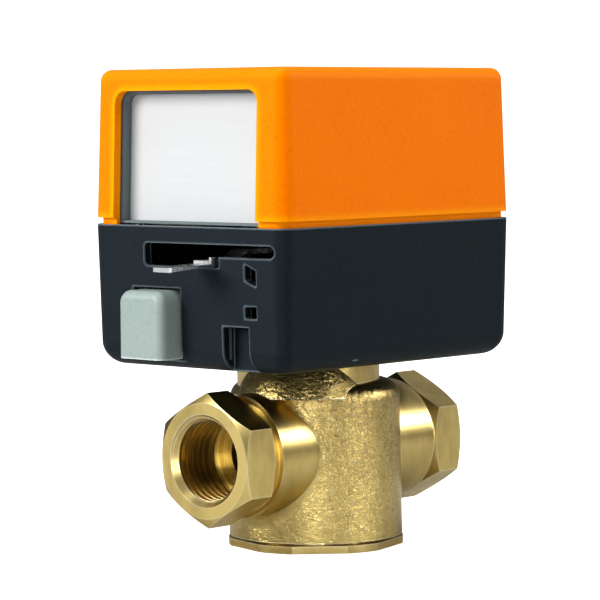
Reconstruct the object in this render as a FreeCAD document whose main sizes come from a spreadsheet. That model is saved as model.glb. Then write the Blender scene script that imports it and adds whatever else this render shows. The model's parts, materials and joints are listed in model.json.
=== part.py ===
import FreeCAD, Part
import math
import os
import re

import Sketcher
from FreeCAD import Placement, Rotation
from FreeCAD import Vector as V

# Spring-return zone valve with its motorized actuator head, in millimetres.
# Origin: centre of the bottom cap's flat underside. +Z up along the body's axis, the two
# ports open along -Y (front) and +Y (rear), and the drive stem stands off-centre at +X.

DIMENSIONS = {
    # forged valve body
    "port_height": 22.8,
    "port_reach": 38.0,
    "body_bottom": 2.4,
    "body_top": 39.1,
    "body_radius": 20.5,
    "body_top_radius": 20.05,
    "shoulder_round": 4.4,
    "hump_x": 2.4,
    "hump_y": -6.6,
    "hump_bottom": 36.0,
    "hump_foot": 15.6,
    "hump_head": 12.9,
    "hump_top": 43.6,
    "chamber_radius": 17.0,
    "chamber_top": 34.2,
    "neck_radius": 14.4,
    "neck_reach": 26.8,
    "neck_end": 12.0,
    "forged_neck": 13.8,
    "neck_blend": 3.6,
    "hex_flats": 27.0,
    "hex_back": 28.6,
    "hex_face_radius": 13.3,
    "relief_radius": 13.1,
    # G 1/2 pipe thread: pitch, crest and root radii
    "thread_pitch": 1.814,
    "thread_minor": 9.32,
    "thread_major": 10.48,
    "thread_end": 23.9,
    "thread_start": 24.3,
    "countersink": 10.65,
    "port_bore": 8.9,
    "port_bore_end": 22.0,
    # mounting collar and spigot, a little in front of the body's axis
    "spigot_y": -2.25,
    "collar_radius": 16.8,
    "spigot_radius": 15.6,
    "spigot_top": 50.0,
    "groove_floor": 11.0,
    "groove_bottom": 46.8,
    "groove_height": 1.7,
    # bottom cap
    "cap_radius": 20.65,
    "cap_flats": 39.2,
    "cap_turn": 44.5,
    "cap_thickness": 1.8,
    "cap_plug_top": 6.5,
    "cap_ring_height": 4.3,
    "cap_ring_wire": 0.5,
    # valve seat and swinging ball plug
    "seat_radius": 6.5,
    "seat_outer": 8.2,
    "seat_plane": 12.15,
    "ball_radius": 8.5,
    "arm_length": 10.77,
    "arm_thickness": 2.0,
    "arm_hub": 5.0,
    "arm_end": 3.2,
    "plug_angle": 22.0,
    "arm_top": 33.8,
    "pin_radius": 1.5,
    "pin_bottom": 16.5,
    # drive stem
    "stem_x": 10.0,
    "stem_radius": 3.0,
    "stem_bottom": 31.0,
    "stem_top": 74.9,
    "running_gap": 0.06,
    "bushing_radius": 4.5,
    "bushing_bottom": 36.0,
    "bushing_flange": 5.4,
    "bushing_top": 51.5,
    "stem_ring_groove": 2.3,
    "clip_thickness": 0.7,
    "clip_radius": 5.0,
    "clip_low": 51.8,
    "clip_high": 72.8,
    # sector gear, hub, cam and pinion
    "gear_module": 0.8,
    "sector_teeth": 60.0,
    "pinion_teeth": 12.0,
    "pinion_direction": 125.0,
    "sector_addendum": 0.55,
    "pinion_addendum": 0.7,
    "root_clearance": 0.2,
    "tooth_play": 0.12,
    "sector_bottom": 71.15,
    "sector_thickness": 1.0,
    "pinion_bottom": 70.7,
    "pinion_height": 2.3,
    "shaft_radius": 1.5,
    "hub_radius": 9.0,
    "hub_bottom": 66.15,
    "hub_neck": 4.5,
    "rivet_radius": 0.9,
    "rivet_circle": 6.8,
    "rivet_head": 0.65,
    "cam_bottom": 63.0,
    "cam_height": 2.4,
    "cam_radius": 16.0,
    # manual lever
    "lever_bottom": 70.15,
    "lever_thickness": 1.0,
    "lever_width": 6.0,
    "lever_angle": -4.85,
    "lever_bend": 30.0,
    "lever_bend_end": 33.5,
    "lever_slot_low": 67.7,
    "lever_droop": 45.0,
    "lever_pad_end": 42.3,
    "lever_pad_low": 68.3,
    "lever_pad_high": 69.0,
    "lever_tip": 54.5,
    "lever_tip_low": 66.9,
    "lever_tip_high": 67.9,
    "lever_tab": 0.8,
    # actuator housing: base and cover
    "box_y": -3.0,
    "box_width": 60.8,
    "box_length": 81.2,
    "box_corner": 4.2,
    "wall": 2.2,
    "base_bottom": 43.95,
    "base_floor": 46.9,
    "base_rim": 76.5,
    "base_draft": 1.6,
    "base_round": 5.3,
    "rim_rebate": 1.05,
    "rebate_depth": 2.1,
    "cover_skirt": 78.0,
    "cover_top": 112.0,
    "cover_draft": 2.0,
    "cover_round": 2.7,
    "tongue_inset": 1.15,
    "window_left": -22.8,
    "window_right": 21.8,
    "window_top": 107.1,
    "window_round": 3.0,
    # openings in the base's front wall
    "slot_left": -12.9,
    "slot_step": 10.3,
    "slot_right": 25.66,
    "slot_bottom": 67.45,
    "slot_shelf": 69.85,
    "slot_top": 72.53,
    "recess_left": 11.15,
    "recess_right": 18.9,
    "recess_top": 54.3,
    "recess_back": -39.3,
    "opening_round": 0.3,
    # name plate and its carrier, in the plane of the cover's sloping front
    "carrier_front": 2.5,
    "carrier_back": 6.9,
    "plate_face": 4.9,
    "plate_thickness": 0.5,
    # chassis
    "chassis_bottom": 73.8,
    "chassis_thickness": 1.2,
    "pillar_radius": 2.3,
    "screw_radius": 1.25,
    "screw_head": 2.6,
    "screw_head_height": 1.5,
    # motor
    "motor_x": -1.0,
    "motor_y": 7.0,
    "gearbox_radius": 25.0,
    "gearbox_top": 83.5,
    "can_radius": 24.6,
    "can_top": 102.5,
    # release button and latch
    "button_left": -16.5,
    "button_right": -2.4,
    "button_bottom": 46.35,
    "button_top": 61.9,
    "button_front": -48.9,
    "button_back": -39.3,
    "button_wall": 1.4,
    "button_gap": 0.45,
    "latch_bottom": 47.0,
    "latch_thickness": 1.2,
    "latch_hole": 16.1,
    "button_travel": 2.5,
    # cable grommet in the rear wall
    "grommet_x": -8.0,
    "grommet_z": 57.0,
    "grommet_bore": 3.5,
    "grommet_neck": 5.6,
    "grommet_flange": 7.6,
}

doc = FreeCAD.newDocument("zone_valve")
sheet = doc.addObject("Spreadsheet::Sheet", "dims")
for row, (alias, size) in enumerate(DIMENSIONS.items(), start=1):
    sheet.set("A%d" % row, alias)
    sheet.set("B%d" % row, str(size))
    sheet.setAlias("B%d" % row, alias)
doc.recompute()

ALIAS = re.compile(r"[a-z]+_[a-z_]+|wall|countersink")
TURN_TO = {
    "z": Rotation(),
    "x": Rotation(V(0, 1, 0), 90),
    "y": Rotation(V(1, 0, 0), -90),
}
PILLARS = ((25.0, -18.0), (24.5, 30.0), (-24.5, 30.0), (-24.5, -34.0))
MOTOR_EARS = ((18.8, 26.8), (-20.8, -12.8))
SWITCH_SCREWS = ((22.4, 10.0), (22.4, 22.0))
TERMINALS = (-18.5, -13.0, -7.5)
RIVET_ANGLES = (60, 240)

finished = []


# ---- helpers: every size is a formula in the sheet's words ----


def on_sheet(formula):
    """The formula with each of the sheet's words written as a reference to the sheet."""
    return ALIAS.sub(r"dims.\g<0>", str(formula))


def value(formula):
    """The number that a formula comes to."""
    return float(sheet.evalExpression(on_sheet(formula)))


def around(radius, degrees):
    """A point's x and y on a circle about the origin."""
    turn = math.radians(degrees)
    return radius * math.cos(turn), radius * math.sin(turn)


def bind(item, **formulas):
    for name, formula in formulas.items():
        item.setExpression(name, on_sheet(formula))


def put(item, at, turn=Rotation()):
    """Place an item, turned first, with each coordinate a formula."""
    item.Placement = Placement(V(), turn)
    for axis, formula in zip("xyz", at):
        item.setExpression("Placement.Base." + axis, on_sheet(formula))


def new_piece(name):
    """A sub-part: a body whose label names its file."""
    piece = doc.addObject("PartDesign::Body", name)
    piece.Label = name
    piece.AllowCompound = True
    finished.append(piece)
    return piece


def primitive(piece, kind, at, turn=Rotation(), **sizes):
    item = piece.newObject("PartDesign::" + kind, kind)
    bind(item, **sizes)
    put(item, at, turn)
    return item


def rod(piece, sign, radius, at, length, axis="z"):
    return primitive(piece, sign + "Cylinder", at, TURN_TO[axis], Radius=radius, Height=length)


def block(piece, sign, x, y, z):
    """A box from the low to the high formula along each axis."""
    sizes = {
        name: "(%s) - (%s)" % (high, low)
        for name, (low, high) in zip(("Length", "Width", "Height"), (x, y, z))
    }
    return primitive(piece, sign + "Box", (x[0], y[0], z[0]), **sizes)


def prism(piece, sign, flats, at, length, turn):
    """A hexagonal prism given by its width across the flats."""
    item = primitive(
        piece, sign + "Prism", at, turn, Circumradius="(%s) / sqrt(3)" % flats, Height=length
    )
    item.Polygon = 6
    return item


def ring(piece, sign, big, wire, at, axis="z"):
    item = primitive(piece, sign + "Torus", at, TURN_TO[axis], Radius1=big, Radius2=wire)
    return item


def origin_plane(piece, role):
    return next(item for item in piece.Origin.OriginFeatures if item.Role == role)


def new_sketch(piece, role, offset=(0, 0, 0)):
    """A sketch on one of the body's own planes, moved by formulas in the plane's own axes."""
    sketch = piece.newObject("Sketcher::SketchObject", "Sketch")
    sketch.AttachmentSupport = [(origin_plane(piece, role), "")]
    sketch.MapMode = "FlatFace"
    for axis, formula in zip("xyz", offset):
        sketch.setExpression("AttachmentOffset.Base." + axis, on_sheet(formula))
    return sketch


def dimension(sketch, constraint, formula):
    """Add a dimension to a sketch and bind it."""
    index = sketch.addConstraint(constraint)
    sketch.setExpression("Constraints[%d]" % index, on_sheet(formula))


def outline(piece, role, points, offset=(0, 0, 0)):
    """A closed polygon whose corners are pairs of formulas."""
    sketch = new_sketch(piece, role, offset)
    corners = [V(value(u), value(v), 0) for u, v in points]
    count = len(corners)
    for index, corner in enumerate(corners):
        sketch.addGeometry(Part.LineSegment(corner, corners[(index + 1) % count]), False)
    for index in range(count):
        sketch.addConstraint(Sketcher.Constraint("Coincident", index, 2, (index + 1) % count, 1))
    for index, (u, v) in enumerate(points):
        corner = corners[index]
        dimension(sketch, Sketcher.Constraint("DistanceX", -1, 1, index, 1, corner.x), u)
        dimension(sketch, Sketcher.Constraint("DistanceY", -1, 1, index, 1, corner.y), v)
    return sketch


def rounded_rectangle(piece, width, length, corner, offset):
    """A rectangle with round corners, centred on the sketch's own origin."""
    sketch = new_sketch(piece, "XY_Plane", offset)
    half_x = value(width) / 2
    half_y = value(length) / 2
    bend = value(corner)
    sides = (
        (V(bend - half_x, -half_y, 0), V(half_x - bend, -half_y, 0)),
        (V(half_x, bend - half_y, 0), V(half_x, half_y - bend, 0)),
        (V(half_x - bend, half_y, 0), V(bend - half_x, half_y, 0)),
        (V(-half_x, half_y - bend, 0), V(-half_x, bend - half_y, 0)),
    )
    for start, end in sides:
        sketch.addGeometry(Part.LineSegment(start, end), False)
    for quarter, (sx, sy) in enumerate(((1, -1), (1, 1), (-1, 1), (-1, -1))):
        centre = V(sx * (half_x - bend), sy * (half_y - bend), 0)
        start = (quarter - 1) * math.pi / 2
        circle = Part.Circle(centre, V(0, 0, 1), bend)
        sketch.addGeometry(Part.ArcOfCircle(circle, start, start + math.pi / 2), False)
    for side in range(4):
        direction = "Horizontal" if side % 2 == 0 else "Vertical"
        sketch.addConstraint(Sketcher.Constraint(direction, side))
        sketch.addConstraint(Sketcher.Constraint("Tangent", side, 2, 4 + side, 1))
        sketch.addConstraint(Sketcher.Constraint("Tangent", 4 + side, 2, (side + 1) % 4, 1))
    for corner_arc in (5, 6, 7):
        sketch.addConstraint(Sketcher.Constraint("Equal", 4, corner_arc))
    dimension(sketch, Sketcher.Constraint("Radius", 4, bend), corner)
    half_width = "(%s) / 2" % width
    half_length = "(%s) / 2" % length
    dimension(sketch, Sketcher.Constraint("DistanceX", -1, 1, 1, 1, half_x), half_width)
    dimension(sketch, Sketcher.Constraint("DistanceX", 3, 1, -1, 1, half_x), half_width)
    dimension(sketch, Sketcher.Constraint("DistanceY", -1, 1, 2, 1, half_y), half_length)
    dimension(sketch, Sketcher.Constraint("DistanceY", 0, 1, -1, 1, half_y), half_length)
    return sketch


def extrude(piece, kind, sketch, length, reversed_way=False, draft="0"):
    item = piece.newObject("PartDesign::" + kind, kind)
    item.Profile = sketch
    item.Reversed = reversed_way
    bind(item, Length=length, TaperAngle=draft)
    return item


def revolve(piece, kind, sketch, axis):
    item = piece.newObject("PartDesign::" + kind, kind)
    item.Profile = sketch
    item.ReferenceAxis = (sketch, [axis])
    item.Angle = 360
    return item


def treat_edges(piece, kind, chosen, **sizes):
    """Fillet or chamfer the edges of the body that the chosen function picks."""
    doc.recompute()
    before = piece.Tip
    names = ["Edge%d" % (n + 1) for n, edge in enumerate(before.Shape.Edges) if chosen(edge)]
    item = piece.newObject("PartDesign::" + kind, kind)
    item.Base = (before, names)
    bind(item, **sizes)
    return item


def middle(edge):
    return edge.valueAt((edge.FirstParameter + edge.LastParameter) / 2)


def flat_at(height):
    """Picks the edges that lie level at a height."""

    def chosen(edge):
        box = edge.BoundBox
        return abs(box.ZMin - height) < 1e-3 and abs(box.ZMax - height) < 1e-3

    return chosen


def shape_piece(name, shape):
    """A sub-part whose form no feature fits."""
    item = doc.addObject("Part::Feature", name)
    item.Label = name
    item.Shape = shape
    item.Placement = Placement()
    finished.append(item)
    return item


# ---- valve body and its fixed parts ----


def port_profile(side):
    """The bore of one port, half of its section: countersink, crest of the thread, smooth bore."""
    points = (
        ("port_reach + 2", "0"),
        ("port_reach + 2", "countersink"),
        ("port_reach", "countersink"),
        ("port_reach - (countersink - thread_minor)", "thread_minor"),
        ("thread_end", "thread_minor"),
        ("thread_end", "port_bore"),
        ("port_bore_end", "port_bore"),
        ("port_bore_end", "0"),
    )
    return [("(%d) * (%s)" % (side, along), radius) for along, radius in points]


def cut_thread(piece, side):
    """The right-hand helical groove of one port, from inside out past its face."""
    groove = (
        ("thread_start", "thread_minor - 0.12"),
        ("thread_start + 0.4 * thread_pitch", "thread_minor - 0.12"),
        ("thread_start + 0.26 * thread_pitch", "thread_major"),
        ("thread_start + 0.14 * thread_pitch", "thread_major"),
    )
    points = [("(%d) * (%s)" % (side, along), radius) for along, radius in groove]
    item = piece.newObject("PartDesign::SubtractiveHelix", "Thread")
    sketch = outline(piece, "YZ_Plane", points, (0, "port_height", 0))
    item.Profile = sketch
    item.ReferenceAxis = (sketch, ["H_Axis"])
    item.Mode = "pitch-height-angle"
    item.Reversed = side < 0
    bind(item, Pitch="thread_pitch", Height="port_reach + 0.5 - thread_start")


def build_valve_body():
    piece = new_piece("valve_body")
    primitive(
        piece,
        "AdditiveCone",
        (0, 0, "body_bottom"),
        Radius1="body_radius",
        Radius2="body_top_radius",
        Height="body_top - body_bottom",
    )
    treat_edges(piece, "Fillet", flat_at(value("body_top")), Radius="shoulder_round")
    rod(piece, "Additive", "forged_neck", (0, "-neck_reach", "port_height"), "2 * neck_reach", "y")

    def where_neck_meets_body(edge):
        here = middle(edge)
        inside = abs(here.y) < value("body_radius") + 0.5
        return inside and abs(edge.BoundBox.ZLength) > 1 and edge.BoundBox.XLength > 3

    treat_edges(piece, "Fillet", where_neck_meets_body, Radius="neck_blend")
    # forged hump on the front shoulder, under the head
    hump = {"Radius1": "hump_foot", "Radius2": "hump_head", "Height": "hump_top - hump_bottom"}
    primitive(piece, "AdditiveCone", ("hump_x", "hump_y", "hump_bottom"), **hump)
    upright_hex = TURN_TO["y"] * Rotation(V(0, 0, 1), 90)
    for side in (-1, 1):
        neck_start = "-neck_reach" if side < 0 else "neck_end"
        turned = (0, neck_start, "port_height")
        rod(piece, "Additive", "neck_radius", turned, "neck_reach - neck_end", "y")
        hex_start = "-port_reach" if side < 0 else "hex_back"
        prism(
            piece,
            "Additive",
            "hex_flats",
            (0, hex_start, "port_height"),
            "port_reach - hex_back",
            upright_hex,
        )
        relief_start = "-hex_back" if side < 0 else "neck_reach"
        rod(
            piece,
            "Additive",
            "relief_radius",
            (0, relief_start, "port_height"),
            "hex_back - neck_reach",
            "y",
        )
        # the hexagon's corners are turned off at 30 degrees, at the face and at the back
        chamfer = "(hex_flats - hex_face_radius) / sqrt(3)"
        face = [
            ("port_reach", "hex_face_radius"),
            ("port_reach + 1", "hex_face_radius"),
            ("port_reach + 1", "hex_flats"),
            ("port_reach - %s" % chamfer, "hex_flats"),
        ]
        back = [
            ("hex_back", "hex_face_radius"),
            ("hex_back - 0.9", "hex_face_radius"),
            ("hex_back - 0.9", "hex_flats"),
            ("hex_back + %s" % chamfer, "hex_flats"),
        ]
        for corner in (face, back):
            mirrored = [("(%d) * (%s)" % (side, along), radius) for along, radius in corner]
            profile = outline(piece, "YZ_Plane", mirrored, (0, "port_height", 0))
            revolve(piece, "Groove", profile, "H_Axis")
    collar_height = "base_bottom - body_top + 3"
    rod(piece, "Additive", "collar_radius", (0, "spigot_y", "body_top - 3"), collar_height)
    rod(piece, "Additive", "spigot_radius", (0, "spigot_y", "base_bottom"), "spigot_top - base_bottom")
    rod(piece, "Subtractive", "chamber_radius", (0, 0, 0), "chamber_top")
    for side in (-1, 1):
        bore = outline(piece, "YZ_Plane", port_profile(side), (0, "port_height", 0))
        revolve(piece, "Groove", bore, "H_Axis")
        cut_thread(piece, side)
    seat_start = (0, "-port_bore_end - 1", "port_height")
    rod(piece, "Subtractive", "seat_outer", seat_start, "port_bore_end", "y")
    rod(piece, "Subtractive", "port_bore", (0, 0, "port_height"), "port_bore_end + 1", "y")
    rod(
        piece,
        "Subtractive",
        "stem_radius + running_gap",
        ("stem_x", "spigot_y", "chamber_top - 1"),
        "spigot_top",
    )
    rod(piece, "Subtractive", "bushing_radius", ("stem_x", "spigot_y", "bushing_bottom"), "spigot_top")
    block(
        piece,
        "Subtractive",
        ("-spigot_radius - 1", "spigot_radius + 1"),
        ("groove_floor", "spigot_radius"),
        ("groove_bottom", "groove_bottom + groove_height"),
    )


def build_bottom_cap():
    piece = new_piece("bottom_cap")
    rod(piece, "Additive", "cap_radius", (0, 0, 0), "cap_thickness")
    for step in range(6):
        angle = 60 * step - 90 + value("cap_turn")
        cut = primitive(
            piece,
            "SubtractiveBox",
            (0, 0, "-1"),
            Length="cap_radius",
            Width="2 * cap_radius",
            Height="cap_thickness + 2",
        )
        turn = math.radians(angle)
        across = "cap_flats / 2 * %.9f" % math.cos(turn), "cap_flats / 2 * %.9f" % math.sin(turn)
        back = "cap_radius * %.9f" % math.sin(turn), "-cap_radius * %.9f" % math.cos(turn)
        at = ["%s + %s" % pair for pair in zip(across, back)] + [-1]
        put(cut, at, Rotation(V(0, 0, 1), angle))
    rod(piece, "Additive", "chamber_radius", (0, 0, "cap_thickness"), "cap_plug_top - cap_thickness")
    rod(piece, "Subtractive", "chamber_radius - 3", (0, 0, "cap_thickness + 1.2"), "cap_plug_top")
    ring_groove = outline(
        piece,
        "XZ_Plane",
        [
            ("chamber_radius + 1", "cap_ring_height - cap_ring_wire"),
            ("chamber_radius - 2 * cap_ring_wire", "cap_ring_height - cap_ring_wire"),
            ("chamber_radius - 2 * cap_ring_wire", "cap_ring_height + cap_ring_wire"),
            ("chamber_radius + 1", "cap_ring_height + cap_ring_wire"),
        ],
    )
    revolve(piece, "Groove", ring_groove, "V_Axis")


def build_cap_ring():
    piece = new_piece("bottom_cap_oring")
    ring(piece, "Additive", "chamber_radius - cap_ring_wire", "cap_ring_wire", (0, 0, "cap_ring_height"))


def build_seat_ring():
    piece = new_piece("seat_ring")
    start = (0, "-port_bore_end", "port_height")
    rod(piece, "Additive", "seat_outer", start, "port_bore_end - seat_plane", "y")
    rod(piece, "Subtractive", "seat_radius", start, "port_bore_end", "y")


def build_stem_bushing():
    piece = new_piece("stem_bushing")
    at = ("stem_x", "spigot_y", "bushing_bottom")
    rod(piece, "Additive", "bushing_radius", at, "bushing_top - bushing_bottom")
    flange = ("stem_x", "spigot_y", "spigot_top")
    rod(piece, "Additive", "bushing_flange", flange, "bushing_top - spigot_top")
    rod(piece, "Subtractive", "stem_radius + running_gap", at, "spigot_top")


# ---- stem, plug and gears: everything that swings about the stem's axis ----


def build_valve_stem():
    piece = new_piece("valve_stem")
    foot = ("stem_x", "spigot_y", "stem_bottom")
    rod(piece, "Additive", "stem_radius", foot, "stem_top - stem_bottom")
    for height in (39.5, 43.5):
        cut_ring(piece, "stem_ring_groove", height - 0.4, 0.8)
    for clip in ("clip_low", "clip_high"):
        cut_ring(piece, "stem_ring_groove", clip, "clip_thickness")


def cut_ring(piece, floor, bottom, width):
    """A square groove round the stem."""
    profile = outline(
        piece,
        "XZ_Plane",
        [
            (floor, bottom),
            ("stem_radius + 1", bottom),
            ("stem_radius + 1", "(%s) + (%s)" % (bottom, width)),
            (floor, "(%s) + (%s)" % (bottom, width)),
        ],
        ("stem_x", 0, "-spigot_y"),
    )
    revolve(piece, "Groove", profile, "V_Axis")


def build_stem_rings():
    piece = new_piece("stem_orings")
    for height in (39.5, 43.5):
        ring(piece, "Additive", "stem_ring_groove + 0.36", 0.36, ("stem_x", "spigot_y", height))


def build_stem_clips():
    piece = new_piece("stem_clips")
    for clip in ("clip_low", "clip_high"):
        rod(piece, "Additive", "clip_radius", ("stem_x", "spigot_y", clip), "clip_thickness")
    for clip in ("clip_low", "clip_high"):
        rod(piece, "Subtractive", "stem_ring_groove", ("stem_x", "spigot_y", clip), "clip_thickness")
        block(
            piece,
            "Subtractive",
            ("stem_x - stem_ring_groove", "stem_x + stem_ring_groove"),
            ("spigot_y", "spigot_y + clip_radius + 1"),
            (clip, "%s + clip_thickness" % clip),
        )


def hang_on_stem(piece):
    """Put a piece made about the Z axis on the stem, turned to where the plug is closed."""
    put(piece, ("stem_x", "spigot_y", 0), Rotation(V(0, 0, 1), value("plug_angle")))


def build_plug_arm():
    piece = new_piece("plug_arm")
    bottom = "arm_top - arm_thickness"
    rod(piece, "Additive", "arm_hub", (0, 0, bottom), "arm_thickness")
    rod(piece, "Additive", "arm_end", ("-arm_length", 0, bottom), "arm_thickness")
    block(
        piece,
        "Additive",
        ("-arm_length", 0),
        ("-arm_end", "arm_end"),
        (bottom, "arm_top"),
    )
    rod(piece, "Subtractive", "stem_radius", (0, 0, bottom), "arm_thickness")
    rod(piece, "Subtractive", "pin_radius", ("-arm_length", 0, bottom), "arm_thickness")
    hang_on_stem(piece)


def build_plug_pin():
    piece = new_piece("plug_pin")
    rod(piece, "Additive", "pin_radius", ("-arm_length", 0, "pin_bottom"), "arm_top - pin_bottom")
    hang_on_stem(piece)


def build_plug_ball():
    piece = new_piece("plug_ball")
    primitive(piece, "AdditiveSphere", ("-arm_length", 0, "port_height"), Radius="ball_radius")
    rod(piece, "Subtractive", "pin_radius", ("-arm_length", 0, "pin_bottom"), "arm_top - pin_bottom")
    hang_on_stem(piece)


def involute_gear(teeth, addendum, first, last):
    """The outline of a spur gear from its first tooth to its last, about the origin.

    Returns the corner points, running anticlockwise. A tooth's middle stands at a whole
    multiple of the tooth angle."""
    pitch_radius = value("gear_module") * teeth / 2
    base_radius = pitch_radius * math.cos(math.radians(20))
    tip = pitch_radius + addendum
    other_addendum = value("sector_addendum + pinion_addendum") - addendum
    root = pitch_radius - other_addendum - value("root_clearance")
    half_tooth = (math.pi * value("gear_module") / 2 - value("tooth_play")) / 2 / pitch_radius

    def spread(radius):
        """How far the involute has turned from its start when it reaches a radius."""
        if radius <= base_radius:
            return 0.0
        pressure = math.acos(base_radius / radius)
        return math.tan(pressure) - pressure

    def polar(radius, angle):
        return V(radius * math.cos(angle), radius * math.sin(angle), 0)

    start = max(root, base_radius)
    flank = [root] + [start + (tip - start) * k / 5 for k in range(6)]
    half = [half_tooth + spread(pitch_radius) - spread(radius) for radius in flank]
    sides = list(zip(flank, half))
    points = []
    for tooth in range(first, last + 1):
        centre = tooth * 2 * math.pi / teeth
        points += [polar(radius, centre - turn) for radius, turn in sides]
        points += [polar(radius, centre + turn) for radius, turn in reversed(sides)]
    return points


def plate_from(points, bottom, thickness):
    """A flat plate with the outline given."""
    wire = Part.makePolygon(points + points[:1])
    face = Part.Face(wire)
    face.translate(V(0, 0, bottom))
    return face.extrude(V(0, 0, thickness))


def build_sector_gear():
    teeth = int(value("sector_teeth"))
    tooth_angle = 360.0 / teeth
    first = math.ceil((95 - value("pinion_direction")) / tooth_angle)
    last = math.floor((155 - value("pinion_direction")) / tooth_angle)
    points = involute_gear(teeth, value("sector_addendum"), first, last)
    points.append(V(-3, 8.5, 0))
    points.append(V(-3, -8.5, 0))
    bottom = value("sector_bottom")
    thickness = value("sector_thickness")
    plate = plate_from(points, bottom, thickness)
    plate = plate.fuse(Part.makeCylinder(value("hub_radius"), thickness, V(0, 0, bottom)))
    window = Part.makeCylinder(19, thickness, V(0, 0, bottom))
    window = window.cut(Part.makeCylinder(12.5, thickness, V(0, 0, bottom)))
    spokes = [
        Part.makeBox(30, 4, thickness, V(0, -2, bottom)).rotate(V(), V(0, 0, 1), angle)
        for angle in (-24, 3, 24)
    ]
    window = window.cut(Part.makeCompound(spokes))
    half_plane = Part.makeBox(40, 80, thickness, V(-37, -40, bottom))
    window = window.cut(half_plane)
    plate = plate.cut(window)
    plate = plate.cut(Part.makeCylinder(value("hub_neck"), thickness, V(0, 0, bottom)))
    for angle in RIVET_ANGLES:
        turned = angle + value("lever_angle - pinion_direction")
        x, y = around(value("rivet_circle"), turned)
        hole = Part.makeCylinder(value("rivet_radius"), thickness, V(x, y, bottom))
        plate = plate.cut(hole)
    item = shape_piece("sector_gear", plate.removeSplitter())
    turn = Rotation(V(0, 0, 1), value("pinion_direction"))
    item.Placement = Placement(V(value("stem_x"), value("spigot_y"), 0), turn)


def pinion_place():
    distance = value("gear_module * (sector_teeth + pinion_teeth) / 2")
    x, y = around(distance, value("pinion_direction"))
    return value("stem_x") + x, value("spigot_y") + y


def build_pinion():
    teeth = int(value("pinion_teeth"))
    points = involute_gear(teeth, value("pinion_addendum"), 0, teeth - 1)
    plate = plate_from(points, value("pinion_bottom"), value("pinion_height"))
    bore = Part.makeCylinder(value("shaft_radius"), 20, V(0, 0, value("pinion_bottom") - 5))
    item = shape_piece("motor_pinion", plate.cut(bore))
    x, y = pinion_place()
    # a gap of the pinion faces the sector's middle tooth
    turn = Rotation(V(0, 0, 1), value("pinion_direction") + 180 + 180.0 / teeth)
    item.Placement = Placement(V(x, y, 0), turn)


def build_output_shaft():
    piece = new_piece("motor_output_shaft")
    x, y = pinion_place()
    length = "gearbox_top - pinion_bottom - 3"
    rod(piece, "Additive", "shaft_radius", (x, y, "pinion_bottom - 0.5"), length)


def build_sector_hub():
    piece = new_piece("sector_hub")
    foot = ("stem_x", "spigot_y", "hub_bottom")
    rod(piece, "Additive", "hub_radius", foot, "lever_bottom - hub_bottom")
    neck_top = "sector_bottom + sector_thickness + 0.5"
    rod(
        piece,
        "Additive",
        "hub_neck",
        ("stem_x", "spigot_y", "lever_bottom"),
        neck_top + " - lever_bottom",
    )
    rod(piece, "Subtractive", "stem_radius", foot, 10)
    for x, y in rivet_places():
        rod(piece, "Subtractive", "rivet_radius", (x, y, "hub_bottom"), 10)


def rivet_places():
    places = []
    for angle in RIVET_ANGLES:
        x, y = around(value("rivet_circle"), angle + value("lever_angle"))
        places.append((value("stem_x") + x, value("spigot_y") + y))
    return places


def build_rivets():
    piece = new_piece("lever_rivets")
    low = "hub_bottom - rivet_head"
    high = "sector_bottom + sector_thickness"
    for x, y in rivet_places():
        rod(piece, "Additive", "rivet_radius", (x, y, low), high + " - (%s)" % low)
        rod(piece, "Additive", "rivet_radius + 0.7", (x, y, low), "rivet_head")
        rod(piece, "Additive", "rivet_radius + 0.7", (x, y, high), "rivet_head")


def build_switch_cam():
    piece = new_piece("switch_cam")
    sweep = outline(
        piece,
        "XY_Plane",
        [
            (0, 0),
            ("cam_radius * 0.82", "-cam_radius * 0.57"),
            ("cam_radius * 0.96", "-cam_radius * 0.26"),
            ("cam_radius", "cam_radius * 0.02"),
        ],
        (0, 0, "cam_bottom"),
    )
    extrude(piece, "Pad", sweep, "cam_height")
    rod(piece, "Additive", 5.0, (0, 0, "cam_bottom"), "hub_bottom - cam_bottom")
    rod(piece, "Additive", 1.0, (9.0, -4.65, "cam_bottom - 2.2"), 3)
    rod(piece, "Subtractive", "stem_radius", (0, 0, "cam_bottom"), 10)
    put(piece, ("stem_x", "spigot_y", 0))


def build_manual_lever():
    piece = new_piece("manual_lever")
    high = "lever_bottom + lever_thickness"
    rod(piece, "Additive", "hub_radius", (0, 0, "lever_bottom"), "lever_thickness")
    profile = outline(
        piece,
        "YZ_Plane",
        [
            (0, "lever_bottom"),
            ("-lever_bend", "lever_bottom"),
            ("-lever_bend_end", "lever_slot_low"),
            ("-lever_droop", "lever_slot_low"),
            ("-lever_tip", "lever_tip_low"),
            ("-lever_tip", "lever_tip_high"),
            ("-lever_pad_end", "lever_pad_low"),
            ("-lever_pad_end", "lever_pad_high"),
            ("-lever_bend_end - 0.7", "lever_pad_high"),
            ("-lever_bend - 0.7", high),
            (0, high),
        ],
        (0, 0, "-lever_width / 2"),
    )
    extrude(piece, "Pad", profile, "lever_width")
    block(
        piece,
        "Additive",
        ("lever_width / 2 - lever_tab", "lever_width / 2"),
        ("-lever_pad_end", "-lever_pad_end + 2 * lever_tab"),
        ("lever_pad_low", "lever_pad_high + lever_tab"),
    )
    tip = value("lever_tip")
    treat_edges(
        piece,
        "Fillet",
        lambda edge: middle(edge).y < 0.01 - tip and edge.BoundBox.ZLength > 0.5,
        Radius=0.5,
    )
    rod(piece, "Subtractive", "hub_neck", (0, 0, "lever_bottom"), "lever_thickness")
    for angle in RIVET_ANGLES:
        x, y = around(value("rivet_circle"), angle)
        rod(piece, "Subtractive", "rivet_radius", (x, y, "lever_bottom"), "lever_thickness")
    put(piece, ("stem_x", "spigot_y", 0), Rotation(V(0, 0, 1), value("lever_angle")))


# ---- actuator housing ----


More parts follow.
